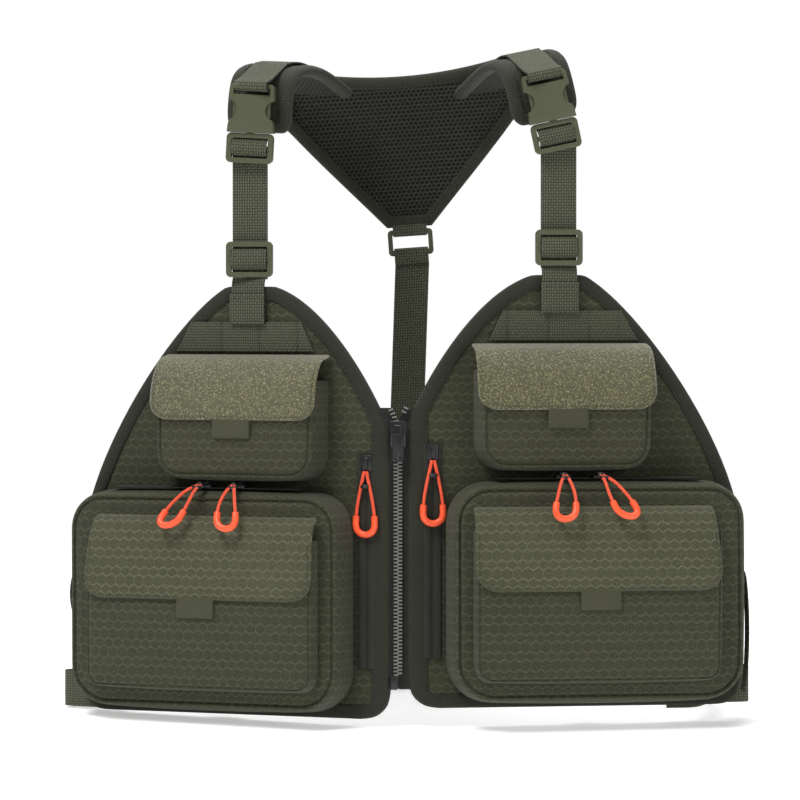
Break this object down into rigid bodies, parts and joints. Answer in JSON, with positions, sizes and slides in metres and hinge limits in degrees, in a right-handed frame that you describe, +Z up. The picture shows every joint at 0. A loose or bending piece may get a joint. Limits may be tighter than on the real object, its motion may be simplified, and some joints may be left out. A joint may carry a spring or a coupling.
{
  "type": "fishing vest",
  "caption": "Harness-style fishing vest: two pocketed front panels with a front zip, hung from a padded mesh back yoke by buckled straps, with a waist belt.",
  "frame": {"origin": "midway between the wearer's shoulders, under the two shoulder pads", "axes": "+X towards the right of a person facing the vest, -Y out of the vest's front, +Z up"},
  "size_m": [0.4867, 0.2368, 0.4721],
  "materials": {
    "ripstop": "matt woven ripstop with a raised hexagon grid",
    "loop_pile": "fuzzy knitted loop pile",
    "webbing": "woven strap webbing with a slight sheen",
    "spacer_mesh": "open knitted spacer mesh over foam",
    "buckle_plastic": "satin moulded plastic",
    "zip_hardware": "gloss black coated metal",
    "zip_chain": "moulded teeth on a woven tape",
    "cord_pull": "braided cord with a soft moulded end"
  },
  "bodies": {
    "harness": {"back_yoke_pad": "spacer_mesh", "yoke_tab": "webbing", "back_ring": "buckle_plastic", "back_strap": "webbing", "waist_belt": "webbing", "shoulder_pad_left": "ripstop", "pad_webbing_left": "webbing", "buckle_socket_left": "buckle_plastic", "shoulder_strap_left": "webbing", "shoulder_pad_right": "ripstop", "pad_webbing_right": "webbing", "buckle_socket_right": "buckle_plastic", "shoulder_strap_right": "webbing"},
    "front_left": {"front_panel_left": "ripstop", "webbing_band_left": "webbing", "panel_tab_left": "webbing", "upper_pocket_left": "ripstop", "lower_pocket_left": "ripstop", "front_pouch_left": "ripstop", "belt_fold_left": "webbing", "d_ring_tab_left": "webbing", "zip_half_left": "zip_chain", "zip_box": "zip_hardware"},
    "upper_flap_left": {"upper_flap_left": "loop_pile"},
    "lower_flap_left": {"lower_flap_left": "ripstop"},
    "chest_slider_left": {"chest_slider_left": "zip_hardware"},
    "chest_pull_left": {"chest_pull_left": "cord_pull"},
    "pocket_slider_inner_left": {"pocket_slider_inner_left": "zip_hardware"},
    "pocket_pull_inner_left": {"pocket_pull_inner_left": "cord_pull"},
    "pocket_slider_outer_left": {"pocket_slider_outer_left": "zip_hardware"},
    "pocket_pull_outer_left": {"pocket_pull_outer_left": "cord_pull"},
    "d_ring_left": {"d_ring_left": "buckle_plastic"},
    "strap_slider_left": {"strap_slider_left": "buckle_plastic"},
    "buckle_plug_left": {"buckle_plug_left": "buckle_plastic"},
    "buckle_prong_inner_left": {"buckle_prong_inner_left": "buckle_plastic"},
    "buckle_prong_outer_left": {"buckle_prong_outer_left": "buckle_plastic"},
    "front_right": {"front_panel_right": "ripstop", "webbing_band_right": "webbing", "panel_tab_right": "webbing", "upper_pocket_right": "ripstop", "lower_pocket_right": "ripstop", "front_pouch_right": "ripstop", "belt_fold_right": "webbing", "d_ring_tab_right": "webbing", "zip_half_right": "zip_chain"},
    "upper_flap_right": {"upper_flap_right": "loop_pile"},
    "lower_flap_right": {"lower_flap_right": "ripstop"},
    "chest_slider_right": {"chest_slider_right": "zip_hardware"},
    "chest_pull_right": {"chest_pull_right": "cord_pull"},
    "pocket_slider_inner_right": {"pocket_slider_inner_right": "zip_hardware"},
    "pocket_pull_inner_right": {"pocket_pull_inner_right": "cord_pull"},
    "pocket_slider_outer_right": {"pocket_slider_outer_right": "zip_hardware"},
    "pocket_pull_outer_right": {"pocket_pull_outer_right": "cord_pull"},
    "d_ring_right": {"d_ring_right": "buckle_plastic"},
    "strap_slider_right": {"strap_slider_right": "buckle_plastic"},
    "buckle_plug_right": {"buckle_plug_right": "buckle_plastic"},
    "buckle_prong_inner_right": {"buckle_prong_inner_right": "buckle_plastic"},
    "buckle_prong_outer_right": {"buckle_prong_outer_right": "buckle_plastic"},
    "zip_slider": {"zip_slider": "zip_hardware"},
    "zip_pull": {"zip_pull": "zip_hardware"}
  },
  "joints": [
    {"name": "front_left_open", "type": "hinge", "parent": "harness", "child": "front_left", "pos_m": [-0.10488, -0.04387, -0.146], "axis": [-0.3671, 0.1532, -0.9175], "range_deg": [0, 45]},
    {"name": "upper_flap_left_lift", "type": "hinge", "parent": "front_left", "child": "upper_flap_left", "pos_m": [-0.11847, -0.03881, -0.199], "axis": [-0.9272, 0.3746, 0], "range_deg": [0, 84]},
    {"name": "lower_flap_left_lift", "type": "hinge", "parent": "front_left", "child": "lower_flap_left", "pos_m": [-0.13057, -0.06876, -0.311], "axis": [-0.9272, 0.3746, 0], "range_deg": [0, 105]},
    {"name": "chest_zip_left", "type": "slide", "parent": "front_left", "child": "chest_slider_left", "axis": [0, 0, -1], "range_m": [0, 0.12]},
    {"name": "chest_pull_left_swing", "type": "hinge", "parent": "chest_slider_left", "child": "chest_pull_left", "pos_m": [-0.02276, -0.07953, -0.2793], "axis": [-0.9272, 0.3746, 0], "range_deg": [0, 140]},
    {"name": "pocket_zip_inner_left", "type": "slide", "parent": "front_left", "child": "pocket_slider_inner_left", "axis": [0.9272, -0.3746, 0], "range_m": [0, 0.035]},
    {"name": "pocket_pull_inner_left_swing", "type": "hinge", "parent": "pocket_slider_inner_left", "child": "pocket_pull_inner_left", "pos_m": [-0.11465, -0.07206, -0.2897], "axis": [-0.9272, 0.3746, 0], "range_deg": [0, 95]},
    {"name": "pocket_zip_outer_left", "type": "slide", "parent": "front_left", "child": "pocket_slider_outer_left", "axis": [-0.9272, 0.3746, 0], "range_m": [0, 0.06]},
    {"name": "pocket_pull_outer_left_swing", "type": "hinge", "parent": "pocket_slider_outer_left", "child": "pocket_pull_outer_left", "pos_m": [-0.13876, -0.06232, -0.2897], "axis": [-0.9272, 0.3746, 0], "range_deg": [0, 95]},
    {"name": "d_ring_left_swing", "type": "hinge", "parent": "front_left", "child": "d_ring_left", "pos_m": [-0.11988, -0.02627, -0.4375], "axis": [0.9272, -0.3746, 0], "range_deg": [-8, 75]},
    {"name": "strap_adjust_left", "type": "slide", "parent": "harness", "child": "strap_slider_left", "axis": [0, 0, 1], "range_m": [0, 0.022]},
    {"name": "buckle_release_left", "type": "slide", "parent": "harness", "child": "buckle_plug_left", "axis": [-0.0518, 0.0073, -0.9986], "range_m": [0, 0.028]},
    {"name": "buckle_prong_inner_left_squeeze", "type": "hinge", "parent": "buckle_plug_left", "child": "buckle_prong_inner_left", "pos_m": [-0.09277, -0.04811, -0.04329], "axis": [-0.1392, -0.9903, 0], "range_deg": [0, 6], "stiffness_Nm_per_rad": 0.05},
    {"name": "buckle_prong_outer_left_squeeze", "type": "hinge", "parent": "buckle_plug_left", "child": "buckle_prong_outer_left", "pos_m": [-0.11393, -0.04514, -0.04217], "axis": [0.1392, 0.9903, 0], "range_deg": [0, 6], "stiffness_Nm_per_rad": 0.05},
    {"name": "front_right_open", "type": "hinge", "parent": "harness", "child": "front_right", "pos_m": [0.11244, -0.06698, -0.138], "axis": [-0.3922, -0.0667, 0.9175], "range_deg": [0, 45]},
    {"name": "upper_flap_right_lift", "type": "hinge", "parent": "front_right", "child": "upper_flap_right", "pos_m": [0.12682, -0.0651, -0.191], "axis": [-0.9877, -0.1564, 0], "range_deg": [0, 84]},
    {"name": "lower_flap_right_lift", "type": "hinge", "parent": "front_right", "child": "lower_flap_right", "pos_m": [0.13187, -0.09701, -0.303], "axis": [-0.9877, -0.1564, 0], "range_deg": [0, 105]},
    {"name": "chest_zip_right", "type": "slide", "parent": "front_right", "child": "chest_slider_right", "axis": [0, 0, -1], "range_m": [0, 0.12]},
    {"name": "chest_pull_right_swing", "type": "hinge", "parent": "chest_slider_right", "child": "chest_pull_right", "pos_m": [0.0244, -0.08325, -0.2713], "axis": [-0.9877, -0.1564, 0], "range_deg": [0, 140]},
    {"name": "pocket_zip_inner_right", "type": "slide", "parent": "front_right", "child": "pocket_slider_inner_right", "axis": [-0.9877, -0.1564, 0], "range_m": [0, 0.035]},
    {"name": "pocket_pull_inner_right_swing", "type": "hinge", "parent": "pocket_slider_inner_right", "child": "pocket_pull_inner_right", "pos_m": [0.11562, -0.09665, -0.2817], "axis": [-0.9877, -0.1564, 0], "range_deg": [0, 95]},
    {"name": "pocket_zip_outer_right", "type": "slide", "parent": "front_right", "child": "pocket_slider_outer_right", "axis": [0.9877, 0.1564, 0], "range_m": [0, 0.06]},
    {"name": "pocket_pull_outer_right_swing", "type": "hinge", "parent": "pocket_slider_outer_right", "child": "pocket_pull_outer_right", "pos_m": [0.1413, -0.09258, -0.2817], "axis": [-0.9877, -0.1564, 0], "range_deg": [0, 95]},
    {"name": "d_ring_right_swing", "type": "hinge", "parent": "front_right", "child": "d_ring_right", "pos_m": [0.13101, -0.0532, -0.4295], "axis": [0.9877, 0.1564, 0], "range_deg": [-8, 75]},
    {"name": "strap_adjust_right", "type": "slide", "parent": "harness", "child": "strap_slider_right", "axis": [0, 0, 1], "range_m": [0, 0.022]},
    {"name": "buckle_release_right", "type": "slide", "parent": "harness", "child": "buckle_plug_right", "axis": [0.2074, 0.0145, -0.9781], "range_m": [0, 0.028]},
    {"name": "buckle_prong_inner_right_squeeze", "type": "hinge", "parent": "buckle_plug_right", "child": "buckle_prong_inner_right", "pos_m": [0.09741, -0.07053, -0.03739], "axis": [-0.0698, 0.9976, 0], "range_deg": [0, 6], "stiffness_Nm_per_rad": 0.05},
    {"name": "buckle_prong_outer_right_squeeze", "type": "hinge", "parent": "buckle_plug_right", "child": "buckle_prong_outer_right", "pos_m": [0.11829, -0.06907, -0.03294], "axis": [0.0698, -0.9976, 0], "range_deg": [0, 6], "stiffness_Nm_per_rad": 0.05},
    {"name": "front_zip", "type": "slide", "parent": "front_left", "child": "zip_slider", "axis": [0, 0, -1], "range_m": [0, 0.153]},
    {"name": "zip_pull_swing", "type": "hinge", "parent": "zip_slider", "child": "zip_pull", "pos_m": [0, -0.0888, -0.253], "axis": [-1, 0, 0], "range_deg": [0, 140]}
  ],
  "couplings": [
    {"joint": "pocket_pull_inner_left_swing", "follows": "lower_flap_left_lift", "ratio": 0.9},
    {"joint": "pocket_pull_outer_left_swing", "follows": "lower_flap_left_lift", "ratio": 0.9},
    {"joint": "buckle_prong_inner_left_squeeze", "follows": "buckle_prong_outer_left_squeeze", "ratio": 1},
    {"joint": "pocket_pull_inner_right_swing", "follows": "lower_flap_right_lift", "ratio": 0.9},
    {"joint": "pocket_pull_outer_right_swing", "follows": "lower_flap_right_lift", "ratio": 0.9},
    {"joint": "buckle_prong_inner_right_squeeze", "follows": "buckle_prong_outer_right_squeeze", "ratio": 1}
  ]
}
